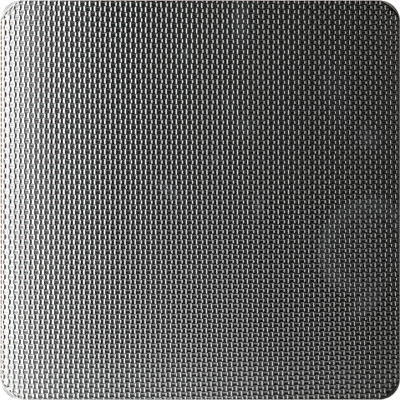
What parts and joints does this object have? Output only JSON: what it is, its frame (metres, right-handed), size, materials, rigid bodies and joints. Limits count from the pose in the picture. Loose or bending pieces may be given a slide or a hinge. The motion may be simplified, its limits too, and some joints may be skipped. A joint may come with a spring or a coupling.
{
  "type": "textured stainless steel sheet",
  "caption": "Square flat sheet of stainless steel with rounded corners and a fine rolled basket-weave texture of short sunk bars between narrow ribs.",
  "frame": {"origin": "centre of the back, in the plane that the sheet lies on", "axes": "+Z out of the textured face, +Y towards the edge at the top of the picture, +X to its right"},
  "size_m": [0.1, 0.1, 0.001],
  "materials": {
    "stainless_steel": "bright rolled basket-weave texture on the face, cut and deburred edges"
  },
  "bodies": {
    "root": {"textured_sheet": "stainless_steel"}
  },
  "joints": []
}
